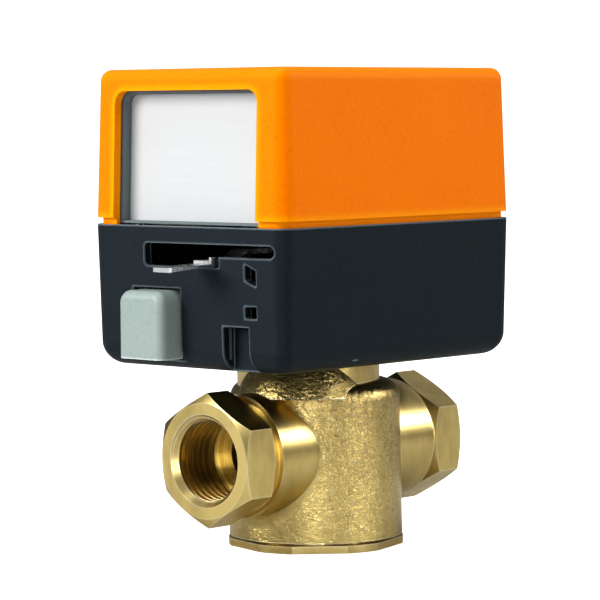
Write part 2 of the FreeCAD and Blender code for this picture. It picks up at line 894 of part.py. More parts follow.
def shell_outline(piece, height, inset):
    """The housing's rounded rectangle at a height, inset from the housing's outside."""
    across = "box_width - 2 * (%s)" % inset
    along = "box_length - 2 * (%s)" % inset
    bend = "box_corner - (%s) * 0.7" % inset
    return rounded_rectangle(piece, across, along, bend, (0, "box_y", height))


def build_base_housing():
    piece = new_piece("base_housing")
    outer = shell_outline(piece, "base_rim", "0")
    extrude(piece, "Pad", outer, "base_rim - base_bottom", True, "-base_draft")
    treat_edges(piece, "Fillet", flat_at(value("base_bottom")), Radius="base_round")
    inner = shell_outline(piece, "base_rim", "wall")
    extrude(piece, "Pocket", inner, "base_rim - base_floor", False, "-base_draft")
    rebate = shell_outline(piece, "base_rim", "rim_rebate")
    extrude(piece, "Pocket", rebate, "rebate_depth", False)
    # wall thickened behind the outside recess, posts under the switch, rib behind the spring
    block(
        piece,
        "Additive",
        ("recess_left - 2", "recess_right + 2"),
        ("recess_back - 1", "recess_back + 1.8"),
        ("base_bottom + 1", "recess_top + 1.8"),
    )
    for x, y in SWITCH_SCREWS:
        block(piece, "Additive", (x - 3, x + 3.8), (y - 2, y + 2), ("base_floor - 1", 60.5))
        rod(piece, "Subtractive", "screw_radius", (x, y, 55.0), 10)
    block(piece, "Additive", (-11.5, -7.4), (-29.4, -27.9), ("base_floor - 1", 58.0))
    for x, y in PILLARS:
        rod(piece, "Additive", 3.6, (x, y, "base_floor - 1"), 3.0)
    block(
        piece,
        "Subtractive",
        ("recess_left", "recess_right"),
        ("box_y - box_length / 2 - 1", "recess_back"),
        ("base_bottom - 1", "recess_top"),
    )
    front = ("box_y - box_length / 2 - 1", "box_y - box_length / 2 + 4.5")
    block(piece, "Subtractive", ("slot_left", "slot_step"), front, ("slot_bottom", "slot_top"))
    block(piece, "Subtractive", ("slot_step - 1", "slot_right"), front, ("slot_shelf", "slot_top"))
    rod(
        piece,
        "Subtractive",
        "(slot_top - slot_shelf) / 2",
        ("slot_right", "box_y - box_length / 2 - 1", "(slot_top + slot_shelf) / 2"),
        6,
        "y",
    )
    block(
        piece,
        "Subtractive",
        ("button_left - button_gap", "button_right + button_gap"),
        front,
        ("button_bottom - button_gap", "button_top + button_gap"),
    )
    block(piece, "Subtractive", (18.0, 21.45), front, (56.4, 59.0))
    sight = outline(
        piece,
        "XZ_Plane",
        [(18.25, 64.8), (18.25, 68.4), (21.5, 67.0), (21.5, 63.6)],
        (0, 0, "box_length / 2 - box_y - 5"),
    )
    extrude(piece, "Pocket", sight, 8, True)
    rod(piece, "Subtractive", "spigot_radius + 0.15", (0, "spigot_y", "base_bottom - 1"), 10)
    rod(
        piece,
        "Subtractive",
        "grommet_neck",
        ("grommet_x", "box_y + box_length / 2 - 5", "grommet_z"),
        8,
        "y",
    )
    left = value("slot_left")
    low = value("slot_bottom")
    high = value("slot_top")
    treat_edges(
        piece,
        "Fillet",
        lambda edge: (
            abs(middle(edge).x - left) < 0.01
            and min(abs(middle(edge).z - low), abs(middle(edge).z - high)) < 0.01
            and edge.BoundBox.YLength > 1
        ),
        Radius=1.0,
    )
    face_y = value("box_y - box_length / 2")
    lean = math.tan(math.radians(value("base_draft")))

    def round_an_opening(edge):
        """On the sloping front, clear of its outer border."""
        box = edge.BoundBox
        on_face = all(
            abs(point.y - face_y - (value("base_rim") - point.z) * lean) < 0.02
            for point in (middle(edge), edge.Vertexes[0].Point, edge.Vertexes[-1].Point)
        )
        clear = value("base_bottom") + 1.0 < middle(edge).z < value("base_rim") - 1.0
        inside = value("button_left") - 1.0 < middle(edge).x < value("slot_right") + 3.0
        return on_face and clear and inside and box.DiagonalLength > 0.2

    treat_edges(piece, "Fillet", round_an_opening, Radius="opening_round")


def build_cover():
    piece = new_piece("cover")
    outer = shell_outline(piece, "cover_skirt", "0.05")
    extrude(piece, "Pad", outer, "cover_top - cover_skirt", False, "-cover_draft")
    treat_edges(piece, "Fillet", flat_at(value("cover_top")), Radius="cover_round")
    inner = shell_outline(piece, "cover_skirt", "wall")
    extrude(piece, "Pocket", inner, "cover_top - cover_skirt - wall", True, "-cover_draft")
    # a tongue reaches down inside the base's rim
    tongue = shell_outline(piece, "cover_skirt + 0.6", "tongue_inset")
    tongue_length = "cover_skirt + 0.6 - (base_rim - rebate_depth + 0.2)"
    extrude(piece, "Pad", tongue, tongue_length, True)
    hollow = shell_outline(piece, "cover_skirt + 0.6", "wall + 0.05")
    extrude(piece, "Pocket", hollow, tongue_length + " + 1", False)
    block(
        piece,
        "Subtractive",
        ("window_left", "window_right"),
        ("box_y - box_length / 2 - 1", "box_y - box_length / 2 + 4.8"),
        ("base_rim - rebate_depth", "window_top"),
    )
    top = value("window_top")
    treat_edges(
        piece,
        "Fillet",
        lambda edge: abs(middle(edge).z - top) < 0.01 and edge.BoundBox.YLength > 1,
        Radius="window_round",
    )


def lean_back(piece):
    """Put a piece made upright at the front plane into the cover's sloping front."""
    turn = Rotation(V(1, 0, 0), -value("cover_draft"))
    put(piece, (0, "box_y - box_length / 2", "base_rim"), turn)


def build_label_carrier():
    """Tray behind the window: local y is depth behind the face, z height above the rim."""
    piece = new_piece("label_carrier")
    rise = "window_top - base_rim"
    block(
        piece,
        "Additive",
        ("window_left - 1.8", "window_right + 1.8"),
        ("carrier_front", "carrier_back"),
        (0.4, rise + " + 1.6"),
    )
    block(
        piece,
        "Subtractive",
        ("window_left + 0.5", "window_right - 0.5"),
        ("carrier_front - 1", "plate_face + plate_thickness"),
        (1.0, rise + " - 0.5"),
    )
    left = value("window_left + 0.5")
    right = value("window_right - 0.5")
    high = value("window_top - base_rim - 0.5")
    treat_edges(
        piece,
        "Fillet",
        lambda edge: (
            edge.BoundBox.YLength > 1
            and abs(middle(edge).z - high) < 0.01
            and min(abs(middle(edge).x - left), abs(middle(edge).x - right)) < 0.01
        ),
        Radius=2.4,
    )
    lean_back(piece)


def build_label_plate():
    piece = new_piece("label_plate")
    rise = value("window_top - base_rim")
    left = value("window_left + 0.6")
    right = value("window_right - 0.6")
    block(
        piece,
        "Additive",
        (left, right),
        ("plate_face", "plate_face + plate_thickness"),
        (1.05, rise - 0.6),
    )
    treat_edges(
        piece,
        "Fillet",
        lambda edge: (
            edge.BoundBox.YLength > 0.3
            and edge.BoundBox.XLength < 0.1
            and middle(edge).z > rise - 1
        ),
        Radius=2.4,
    )
    lean_back(piece)


# ---- chassis, motor and electrical parts ----


def build_chassis_plate():
    piece = new_piece("chassis_plate")
    z = ("chassis_bottom", "chassis_bottom + chassis_thickness")
    block(piece, "Additive", (-27.0, 27.6), (-37.5, 34.0), z)
    for x, y in PILLARS + MOTOR_EARS:
        rod(piece, "Subtractive", "screw_radius", (x, y, "chassis_bottom"), "chassis_thickness")
    rod(
        piece,
        "Subtractive",
        "stem_radius + running_gap",
        ("stem_x", "spigot_y", "chassis_bottom"),
        "chassis_thickness",
    )
    x, y = pinion_place()
    rod(piece, "Subtractive", 2.5, (x, y, "chassis_bottom"), "chassis_thickness")
    rod(piece, "Subtractive", "screw_radius", (12.0, -30.0, "chassis_bottom"), "chassis_thickness")


def build_pillars():
    piece = new_piece("chassis_pillars")
    foot = "base_floor + 2.0"
    for x, y in PILLARS:
        rod(piece, "Additive", "pillar_radius", (x, y, foot), "chassis_bottom - (%s)" % foot)
    for x, y in PILLARS:
        rod(piece, "Subtractive", "screw_radius", (x, y, "chassis_bottom - 6"), 6)


def build_screws(name, places, seat, shank, head="screw_head"):
    """Pan-head screws standing in holes, heads on the seat height."""
    piece = new_piece(name)
    for x, y in places:
        rod(piece, "Additive", "screw_radius", (x, y, "(%s) - (%s)" % (seat, shank)), shank)
        rod(piece, "Additive", head, (x, y, seat), "screw_head_height")
    for x, y in places:
        slot_bottom = "(%s) + screw_head_height - 0.7" % seat
        block(
            piece,
            "Subtractive",
            ("%s - screw_head" % x, "%s + screw_head" % x),
            ("%s - 0.4" % y, "%s + 0.4" % y),
            (slot_bottom, "(%s) + screw_head_height" % seat),
        )


def build_motor_gearbox():
    piece = new_piece("motor_gearbox")
    floor = "chassis_bottom + chassis_thickness"
    rod(piece, "Additive", "gearbox_radius", ("motor_x", "motor_y", floor), "gearbox_top - (%s)" % floor)
    for x, y in MOTOR_EARS:
        rod(piece, "Additive", 3.6, (x, y, floor), 1.5)
        link = 0.75
        near_x = value("motor_x") + link * (x - value("motor_x"))
        near_y = value("motor_y") + link * (y - value("motor_y"))
        rod(piece, "Additive", 3.6, (near_x, near_y, floor), 1.5)
    for x, y in MOTOR_EARS:
        rod(piece, "Subtractive", "screw_radius", (x, y, floor), 10)
        rod(piece, "Subtractive", "screw_head + 0.6", (x, y, floor + " + 1.5"), 10)
    x, y = pinion_place()
    length = "gearbox_top - (%s) - 1" % floor
    rod(piece, "Subtractive", "shaft_radius + running_gap", (x, y, floor), length)


def build_motor_can():
    piece = new_piece("motor_can")
    at = ("motor_x", "motor_y", "gearbox_top")
    rod(piece, "Additive", "can_radius", at, "can_top - gearbox_top")
    treat_edges(piece, "Fillet", flat_at(value("can_top")), Radius=2.0)


def build_terminal_block():
    piece = new_piece("terminal_block")
    floor = "chassis_bottom + chassis_thickness"
    block(piece, "Additive", (-21.5, -4.5), (-33.5, -24.5), (floor, 84.0))
    for x in TERMINALS:
        rod(piece, "Subtractive", "screw_radius", (x, -30.5, 79.0), 10)
        rod(piece, "Subtractive", 1.3, (x, -29.0, 79.0), 10, "y")


def build_leads():
    """Two insulated wires from the motor's front down to the terminals."""
    wires = []
    for x, end_x, low in ((-14.5, TERMINALS[1], 79.0), (-12.0, TERMINALS[2], 79.0)):
        start_y = value("motor_y") - math.sqrt(value("can_radius") ** 2 - (x + 1.0) ** 2)
        top = V(x, start_y - 0.6, 88.0)
        out = V(x, start_y - 2.2, 88.0)
        bend = V((x + end_x) / 2, -19.2, 84.0)
        down = V(end_x, -21.6, low)
        end = V(end_x, -26.5, low)
        curve = Part.BSplineCurve()
        curve.buildFromPoles([top, out, bend, down, end], False, 3)
        path = Part.Wire([curve.toShape()])
        profile = Part.Wire([Part.makeCircle(0.8, top, V(0, -1, 0))])
        wires.append(path.makePipeShell([profile], True, False))
    shape_piece("motor_leads", Part.makeCompound(wires))


def build_end_switch():
    piece = new_piece("end_switch")
    block(piece, "Additive", (17.8, 27.0), (6.0, 26.0), (60.5, 66.9))
    for x, y in SWITCH_SCREWS:
        rod(piece, "Subtractive", "screw_radius", (x, y, 60.5), 10)
    rod(piece, "Subtractive", "0.8 + running_gap", (22.5, 6.0, 63.7), 3, "y")


def build_switch_plunger():
    piece = new_piece("switch_plunger")
    rod(piece, "Additive", 0.8, (22.5, 4.6, 63.7), 3.2, "y")


def coil(radius, wire_radius, pitch, turns):
    """A round wire wound about +Z from the origin, starting on the +X side."""
    path = Part.Wire(Part.makeHelix(pitch, pitch * turns, radius))
    circle = Part.makeCircle(wire_radius, V(radius, 0, 0), V(0, 1, 0))
    return path.makePipeShell([Part.Wire([circle])], True, True)


def build_return_spring():
    winding = coil(6.2, 0.5, 1.15, 7)
    winding.rotate(V(), V(0, 0, 1), -90)
    low_leg = Part.makeCylinder(0.5, 13, V(-13, -6.2, 0), V(1, 0, 0))
    high_leg = Part.makeCylinder(0.5, 10.5, V(0, -6.2, 1.15 * 7), V(1, 0, 0))
    shape = winding.fuse([low_leg, high_leg])
    item = shape_piece("return_spring", shape)
    item.Placement = Placement(V(value("stem_x"), value("spigot_y"), 53.6), Rotation())


def build_spring_anchor():
    piece = new_piece("spring_anchor")
    rod(piece, "Additive", 1.0, (-1.5, -10.0, "spigot_top"), 5.6)


# ---- release button and latch ----


def build_release_button():
    piece = new_piece("release_button")
    block(
        piece,
        "Additive",
        ("button_left", "button_right"),
        ("button_front", "button_back"),
        ("button_bottom", "button_top"),
    )
    front = value("button_front")
    top = value("button_top")
    bottom = value("button_bottom")

    def upper_corner(edge):
        return abs(middle(edge).z - top) < 0.01 and edge.BoundBox.YLength > 5

    treat_edges(piece, "Fillet", upper_corner, Radius=3.0)

    def front_rim(edge):
        box = edge.BoundBox
        on_front = abs(box.YMin - front) < 0.01 and abs(box.YMax - front) < 0.01
        return on_front and box.ZMax > bottom + 0.1

    treat_edges(piece, "Fillet", front_rim, Radius=2.0)
    block(
        piece,
        "Subtractive",
        ("button_left + button_wall", "button_right - button_wall"),
        ("button_front + button_wall + 0.4", "button_back + 1"),
        ("button_bottom + button_wall + 0.6", "button_top - button_wall - 0.8"),
    )
    # the rear is raised so that it passes over the base's floor when pressed
    block(
        piece,
        "Subtractive",
        ("button_left - 1", "button_right + 1"),
        (-42.0, "button_back + 1"),
        ("button_bottom - 1", "latch_bottom + 0.2"),
    )
    block(
        piece,
        "Additive",
        ("button_left + button_wall / 2", "button_right - button_wall / 2"),
        ("button_back - 1.2", "button_back"),
        ("latch_bottom + 0.4", "button_top - button_wall / 2"),
    )


def build_latch_slide():
    piece = new_piece("latch_slide")
    z = ("latch_bottom", "latch_bottom + latch_thickness")
    block(piece, "Additive", (-18.4, 18.4), (-23.5, 18.0), z)
    block(piece, "Additive", (-14.0, -5.0), ("button_back", -20.0), z)
    block(
        piece,
        "Additive",
        (-14.0, -5.0),
        ("button_back", "button_back + latch_thickness"),
        ("latch_bottom", 58.0),
    )
    # the hole clears the spigot at both ends of the travel; only the tongue reaches into
    # the spigot's groove, and only at rest
    for centre in ("spigot_y", "spigot_y - button_travel"):
        rod(piece, "Subtractive", "latch_hole", (0, centre, "latch_bottom"), "latch_thickness")
    block(piece, "Additive", (-6.0, 6.0), ("groove_floor + 0.65", 16.0), z)
    block(piece, "Subtractive", (-12.0, -6.9), (-32.4, -27.4), z)


def build_button_spring():
    winding = coil(2.5, 0.3, 1.2, 6.5)
    item = shape_piece("button_spring", winding)
    start = value("button_back + latch_thickness") + 0.32
    item.Placement = Placement(V(-9.45, start, 54.0), TURN_TO["y"])


def build_grommet():
    piece = new_piece("cable_grommet")
    outside = value("box_y + box_length / 2")
    drop = value("base_rim - grommet_z") * math.tan(math.radians(value("base_draft")))
    face = outside - drop
    rod(piece, "Additive", "grommet_neck", ("grommet_x", face - 4.4, "grommet_z"), 6.8, "y")
    rod(piece, "Additive", "grommet_flange", ("grommet_x", face + 0.35, "grommet_z"), 2.05, "y")
    rod(piece, "Additive", "grommet_flange", ("grommet_x", face - 4.4, "grommet_z"), 1.8, "y")
    rod(piece, "Subtractive", "grommet_bore", ("grommet_x", face - 4.4, "grommet_z"), 6.8, "y")


build_valve_body()
build_bottom_cap()
build_cap_ring()
build_seat_ring()
build_stem_bushing()
build_valve_stem()
build_stem_rings()
build_stem_clips()
build_plug_arm()
build_plug_pin()
build_plug_ball()
build_sector_gear()
build_sector_hub()
build_rivets()
build_switch_cam()
build_manual_lever()
build_pinion()
build_output_shaft()
build_base_housing()
build_cover()
build_label_carrier()
build_label_plate()
build_chassis_plate()
build_pillars()
build_screws("chassis_screws", PILLARS, "chassis_bottom + chassis_thickness", 5)
build_motor_gearbox()
build_motor_can()
build_screws("motor_screws", MOTOR_EARS, "chassis_bottom + chassis_thickness + 1.5", 3)
build_terminal_block()
build_screws("terminal_screws", [(x, -30.5) for x in TERMINALS], "84.0", 3.0, "2.2")
build_screws("earth_screw", [(12.0, -30.0)], "chassis_bottom + chassis_thickness", 3.0)
build_leads()
build_end_switch()
build_screws("switch_screws", SWITCH_SCREWS, "66.9", 8.0)
build_switch_plunger()
build_return_spring()
build_spring_anchor()
build_release_button()
build_latch_slide()
build_button_spring()
build_grommet()

doc.recompute()
for item in doc.Objects:
    if "Invalid" in item.State or "Error" in item.State:
        raise RuntimeError("%s (%s) failed" % (item.Label, item.Name))
os.makedirs("parts", exist_ok=True)
for piece in finished:
    if piece.Shape.isNull() or not piece.Shape.isValid():
        raise RuntimeError("%s has no sound shape" % piece.Label)
for piece in finished:
    piece.Shape.exportStep("parts/%s.step" % piece.Label)
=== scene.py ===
import json
import math

import bpy
from mathutils import Matrix, Vector

# Zone valve with its motorized actuator head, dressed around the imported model. Metres.
# -Y is the front with the window, lever and release button, +X the long side on the right.

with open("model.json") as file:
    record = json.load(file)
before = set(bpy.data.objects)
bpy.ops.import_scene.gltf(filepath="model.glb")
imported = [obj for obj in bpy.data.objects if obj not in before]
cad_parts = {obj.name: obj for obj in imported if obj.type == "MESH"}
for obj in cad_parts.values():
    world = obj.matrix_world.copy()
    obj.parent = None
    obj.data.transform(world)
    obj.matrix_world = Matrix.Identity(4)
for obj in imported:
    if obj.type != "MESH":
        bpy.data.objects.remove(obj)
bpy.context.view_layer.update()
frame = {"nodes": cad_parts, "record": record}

# ---- camera: a long lens, a little above the actuator's cover, 42 degrees round to the right ----

LENS_MM = 178.89
SENSOR_MM = 36.0
CAMERA_REACH = 0.7029
CAMERA_HEIGHT = 0.1031
CAMERA_AZIMUTH = math.radians(41.90)
AIM_AZIMUTH = math.radians(42.17)
AIM_DOWN = math.radians(3.704)
CAMERA_ROLL = math.radians(-0.486)


def make_camera():
    data = bpy.data.cameras.new("camera")
    data.lens = LENS_MM
    data.sensor_width = SENSOR_MM
    data.clip_start = 0.01
    data.clip_end = 20.0
    camera = bpy.data.objects.new("camera", data)
    place = Vector(
        (
            CAMERA_REACH * math.sin(CAMERA_AZIMUTH),
            -CAMERA_REACH * math.cos(CAMERA_AZIMUTH),
            CAMERA_HEIGHT,
        )
    )
    level = math.cos(AIM_DOWN)
    look = Vector(
        (-math.sin(AIM_AZIMUTH) * level, math.cos(AIM_AZIMUTH) * level, -math.sin(AIM_DOWN))
    )
    right = Vector((math.cos(AIM_AZIMUTH), math.sin(AIM_AZIMUTH), 0.0))
    up = right.cross(look)
    rolled_right = right * math.cos(CAMERA_ROLL) + up * math.sin(CAMERA_ROLL)
    rolled_up = up * math.cos(CAMERA_ROLL) - right * math.sin(CAMERA_ROLL)
    turn = Matrix((rolled_right, rolled_up, -look)).transposed().to_4x4()
    camera.matrix_world = Matrix.Translation(place) @ turn
    bpy.context.scene.collection.objects.link(camera)
    bpy.context.scene.camera = camera


# ---- studio ----

# The room that surfaces reflect: how bright it is at each height, from straight down (0)
# through the horizon (0.5) to near straight up.
ROOM_LIGHT = 0.75
ROOM_DOWN = (0.30, 0.30, 0.31, 1)
ROOM_UP = (0.60, 0.61, 0.63, 1)
ROOM_UP_FROM = 0.95
ROOM_BANDS = ((0.45, 0.26), (0.52, 0.07), (0.66, 0.22))
STUDIO_MIDDLE = (0.0, 0.0, 0.06)
# name, place, width, height in metres, and power in watts
LIGHTS = (
    ("key", (-0.50, -1.05, 0.55), 0.60, 0.60, 14.0),
    ("ceiling", (0.05, -0.10, 1.10), 0.70, 0.70, 6.0),
    ("strip", (0.75, -0.85, 0.10), 0.08, 0.70, 2.6),
    ("side", (1.00, 0.22, 0.20), 0.06, 0.80, 2.2),
    ("rim", (0.60, 0.85, 0.45), 0.30, 0.30, 2.5),
)
FLOOR_SIZE = 60.0
FLOOR_GREY = 0.55
FLOOR_GLOW = 0.90


def for_camera(tree, seen, rest):
    """One shader for the camera's own rays and another for all the rest."""
    path = tree.nodes.new("ShaderNodeLightPath")
    mix = tree.nodes.new("ShaderNodeMixShader")
    tree.links.new(path.outputs["Is Camera Ray"], mix.inputs[0])
    tree.links.new(rest, mix.inputs[1])
    tree.links.new(seen, mix.inputs[2])
    return mix.outputs[0]


def make_world():
    """White to the camera, and a grey room, darkest at the horizon, to everything else."""
    world = bpy.data.worlds.new("studio")
    bpy.context.scene.world = world
    world.use_nodes = True
    tree = world.node_tree
    tree.nodes.clear()
    coords = tree.nodes.new("ShaderNodeTexCoord")
    split = tree.nodes.new("ShaderNodeSeparateXYZ")
    ramp = tree.nodes.new("ShaderNodeValToRGB")
    ramp.color_ramp.elements[0].position = 0.0
    ramp.color_ramp.elements[0].color = ROOM_DOWN
    ramp.color_ramp.elements[1].position = ROOM_UP_FROM
    ramp.color_ramp.elements[1].color = ROOM_UP
    for position, shade in ROOM_BANDS:
        element = ramp.color_ramp.elements.new(position)
        element.color = (shade, shade, shade, 1)
    # the direction's Z runs from -1 to 1, the ramp from 0 to 1
    half = tree.nodes.new("ShaderNodeMath")
    half.operation = "MULTIPLY_ADD"
    half.inputs[1].default_value = 0.5
    half.inputs[2].default_value = 0.5
    room = tree.nodes.new("ShaderNodeBackground")
    room.inputs["Strength"].default_value = ROOM_LIGHT
    seen = tree.nodes.new("ShaderNodeBackground")
    seen.inputs["Color"].default_value = (1, 1, 1, 1)
    seen.inputs["Strength"].default_value = 1.0
    out = tree.nodes.new("ShaderNodeOutputWorld")
    link = tree.links.new
    link(coords.outputs["Generated"], split.inputs[0])
    link(split.outputs["Z"], half.inputs[0])
    link(half.outputs[0], ramp.inputs[0])
    link(ramp.outputs["Color"], room.inputs["Color"])
    link(for_camera(tree, seen.outputs[0], room.outputs[0]), out.inputs[0])


def area_light(name, place, width, height, power):
    data = bpy.data.lights.new(name, "AREA")
    data.shape = "RECTANGLE"
    data.size = width
    data.size_y = height
    data.energy = power
    light = bpy.data.objects.new(name, data)
    place = Vector(place)
    light.location = place
    light.rotation_euler = (Vector(STUDIO_MIDDLE) - place).to_track_quat("-Z", "Y").to_euler()
    bpy.context.scene.collection.objects.link(light)


def make_floor():
    """A pale floor that looks white to the camera apart from a faint contact shadow."""
    bpy.ops.mesh.primitive_plane_add(size=FLOOR_SIZE, location=(0, 0, 0))
    floor = bpy.context.object
    floor.name = "studio_floor"
    paint = bpy.data.materials.new("studio_floor")
    paint.use_nodes = True
    tree = paint.node_tree
    shader = tree.nodes["Principled BSDF"]
    shader.inputs["Base Color"].default_value = (FLOOR_GREY, FLOOR_GREY, FLOOR_GREY, 1)
    shader.inputs["Roughness"].default_value = 1.0
    shader.inputs["Specular IOR Level"].default_value = 0.0
    glow = tree.nodes.new("ShaderNodeEmission")
    glow.inputs["Strength"].default_value = FLOOR_GLOW
    seen = tree.nodes.new("ShaderNodeAddShader")
    tree.links.new(shader.outputs[0], seen.inputs[0])
    tree.links.new(glow.outputs[0], seen.inputs[1])
    surface = for_camera(tree, seen.outputs[0], shader.outputs[0])
    tree.links.new(surface, tree.nodes["Material Output"].inputs["Surface"])
    floor.data.materials.append(paint)


def make_studio():
    make_world()
    for name, place, width, height, power in LIGHTS:
        area_light(name, place, width, height, power)
    make_floor()


# ---- materials ----


class Paint:
    """A node material under construction: a Principled shader and helpers that feed it."""

    def __init__(self, name, colour, roughness, metallic=0.0, specular=0.5):
        self.material = bpy.data.materials.new(name)
        self.material.use_nodes = True
        self.tree = self.material.node_tree
        self.shader = self.tree.nodes["Principled BSDF"]
        self.shader.inputs["Base Color"].default_value = (*colour, 1)
        self.shader.inputs["Roughness"].default_value = roughness
        self.shader.inputs["Metallic"].default_value = metallic
        self.shader.inputs["Specular IOR Level"].default_value = specular
        self.normal = None
        self.place = self.tree.nodes.new("ShaderNodeTexCoord").outputs["Object"]

    def node(self, kind, **settings):
        item = self.tree.nodes.new(kind)
        for key, setting in settings.items():
            setattr(item, key, setting)
        return item

    def link(self, source, target):
        self.tree.links.new(source, target)

    def stretched(self, scale):
        """The object's own coordinates, scaled along each axis."""
        mapping = self.node("ShaderNodeMapping")
        mapping.inputs["Scale"].default_value = scale
        self.link(self.place, mapping.inputs["Vector"])
        return mapping.outputs["Vector"]

    def noise(self, scale, detail=2.0, roughness=0.5, stretch=(1, 1, 1)):
        item = self.node("ShaderNodeTexNoise")
        item.inputs["Scale"].default_value = scale
        item.inputs["Detail"].default_value = detail
        item.inputs["Roughness"].default_value = roughness
        self.link(self.stretched(stretch), item.inputs["Vector"])
        return item.outputs["Fac"]

    def speckle(self, scale):
        item = self.node("ShaderNodeTexVoronoi")
        item.inputs["Scale"].default_value = scale
        self.link(self.place, item.inputs["Vector"])
        return item.outputs["Distance"]

    def ramp(self, source, stops):
        """Remaps a value: stops are (position, grey or colour)."""
        item = self.node("ShaderNodeValToRGB")
        elements = item.color_ramp.elements
        while len(elements) < len(stops):
            elements.new(0.5)
        for element, (position, shade) in zip(elements, stops):
            element.position = position
            shade = (shade, shade, shade) if isinstance(shade, (int, float)) else shade
            element.color = (*shade, 1)
        self.link(source, item.inputs["Fac"])
        return item.outputs["Color"]

    def tint(self, factor, colour):
        """Mixes another colour into the base colour where the factor is high."""
        item = self.node("ShaderNodeMix", data_type="RGBA")
        current = self.shader.inputs["Base Color"]
        if current.is_linked:
            self.link(current.links[0].from_socket, item.inputs["A"])
        else:
            item.inputs["A"].default_value = current.default_value[:]
        item.inputs["B"].default_value = (*colour, 1)
        self.link(factor, item.inputs["Factor"])
        self.link(item.outputs["Result"], current)

    def rough(self, factor, low, high):
        """Varies the roughness between two values."""
        item = self.node("ShaderNodeMapRange")
        item.inputs["To Min"].default_value = low
        item.inputs["To Max"].default_value = high
        self.link(factor, item.inputs["Value"])
        self.link(item.outputs["Result"], self.shader.inputs["Roughness"])

    def bump(self, height, strength, distance):
        item = self.node("ShaderNodeBump")
        item.inputs["Strength"].default_value = strength
        item.inputs["Distance"].default_value = distance
        self.link(height, item.inputs["Height"])
        if self.normal is not None:
            self.link(self.normal, item.inputs["Normal"])
        self.normal = item.outputs["Normal"]
        self.link(self.normal, self.shader.inputs["Normal"])


# Cosine between the rounded and the true normal where the painted edge highlight is strongest, and
# where it fades out.
EDGE_FULL = 0.88
EDGE_GONE = 0.992


def painted_edge_highlight(paint, radius, colour, amount):
    """Paints a highlight along rims where the surface bends within the radius, standing in for
    light caught by the small roundings.
    """
    soft = paint.node("ShaderNodeBevel", samples=4)
    soft.inputs["Radius"].default_value = radius
    hard = paint.node("ShaderNodeNewGeometry")
    match = paint.node("ShaderNodeVectorMath", operation="DOT_PRODUCT")
    paint.link(soft.outputs["Normal"], match.inputs[0])
    paint.link(hard.outputs["Normal"], match.inputs[1])
    stops = ((EDGE_FULL, amount), (EDGE_GONE, 0.0))
    paint.tint(paint.ramp(match.outputs["Value"], stops), colour)


def moulded(
    name, colour, speck, roughness, grain, specular=0.45, highlight_colour=None, sheen=None, bend=0.0007
):
    """Injection-moulded plastic with a fine spark-eroded grain and a few specks.

    Where the surface bends within the given radius, a painted highlight in the highlight colour is
    mixed in, if one is given.
    """
    paint = Paint(name, colour, roughness, specular=specular)
    if sheen:
        paint.shader.inputs["Specular Tint"].default_value = (*sheen, 1)
    cloudy = paint.noise(60, 3)
    paint.tint(paint.ramp(cloudy, ((0.35, 0.0), (0.75, 0.16))), speck)
    grains = paint.noise(1300, 3, 0.7)
    paint.tint(paint.ramp(grains, ((0.52, 0.0), (0.70, 0.5))), speck)
    dots = paint.speckle(420)
    paint.tint(paint.ramp(dots, ((0.0, 0.55), (0.09, 0.0))), speck)
    # painted highlight along rounded rims, not a colour of the plastic
    if highlight_colour:
        painted_edge_highlight(paint, bend, highlight_colour, 0.9)
    paint.rough(paint.noise(900, 2), roughness - 0.05, roughness + 0.08)
    paint.bump(paint.noise(2600, 2, 0.6), grain, 0.0001)
    return paint.material


# Where the valve body was turned on a lathe, so that its forged skin is gone.
PORT_AXIS_HEIGHT = 0.0228
TURNED_NECK = 0.01443
FORGED_REACH = 0.0268
COLLAR_RADIUS = 0.01685
COLLAR_Y = -0.00225
COLLAR_FOOT = 0.0388


def reach_from(paint, centre, keep):
    """Distance of the surface from an axis through a centre point, along the dropped axis."""
    shift = paint.node("ShaderNodeVectorMath", operation="SUBTRACT")
    paint.link(paint.place, shift.inputs[0])
    shift.inputs[1].default_value = centre
    flat = paint.node("ShaderNodeVectorMath", operation="MULTIPLY")
    paint.link(shift.outputs["Vector"], flat.inputs[0])
    flat.inputs[1].default_value = keep
    length = paint.node("ShaderNodeVectorMath", operation="LENGTH")
    paint.link(flat.outputs["Vector"], length.inputs[0])
    return length.outputs["Value"]


def calculate(paint, operation, first, second):
    """One Math node on two sockets or numbers."""
    item = paint.node("ShaderNodeMath", operation=operation)
    for socket, source in zip(item.inputs, (first, second)):
        if isinstance(source, (int, float)):
            socket.default_value = source
        else:
            paint.link(source, socket)
    return item.outputs["Value"]


def forged_skin(paint):
    """1 on the forged skin, 0 where the body was turned: ports, necks and collar."""
    from_port = reach_from(paint, (0, 0, PORT_AXIS_HEIGHT), (1, 0, 1))
    from_collar = reach_from(paint, (0, COLLAR_Y, 0), (1, 1, 0))
    along = reach_from(paint, (0, 0, 0), (0, 1, 0))
    height = reach_from(paint, (0, 0, 0), (0, 0, 1))
    outside = calculate(paint, "GREATER_THAN", from_port, TURNED_NECK)
    between = calculate(paint, "LESS_THAN", along, FORGED_REACH)
    low = calculate(paint, "LESS_THAN", height, COLLAR_FOOT)
    wide = calculate(paint, "GREATER_THAN", from_collar, COLLAR_RADIUS)
    body = calculate(paint, "MULTIPLY", outside, between)
    return calculate(paint, "MULTIPLY", body, calculate(paint, "MAXIMUM", low, wide))


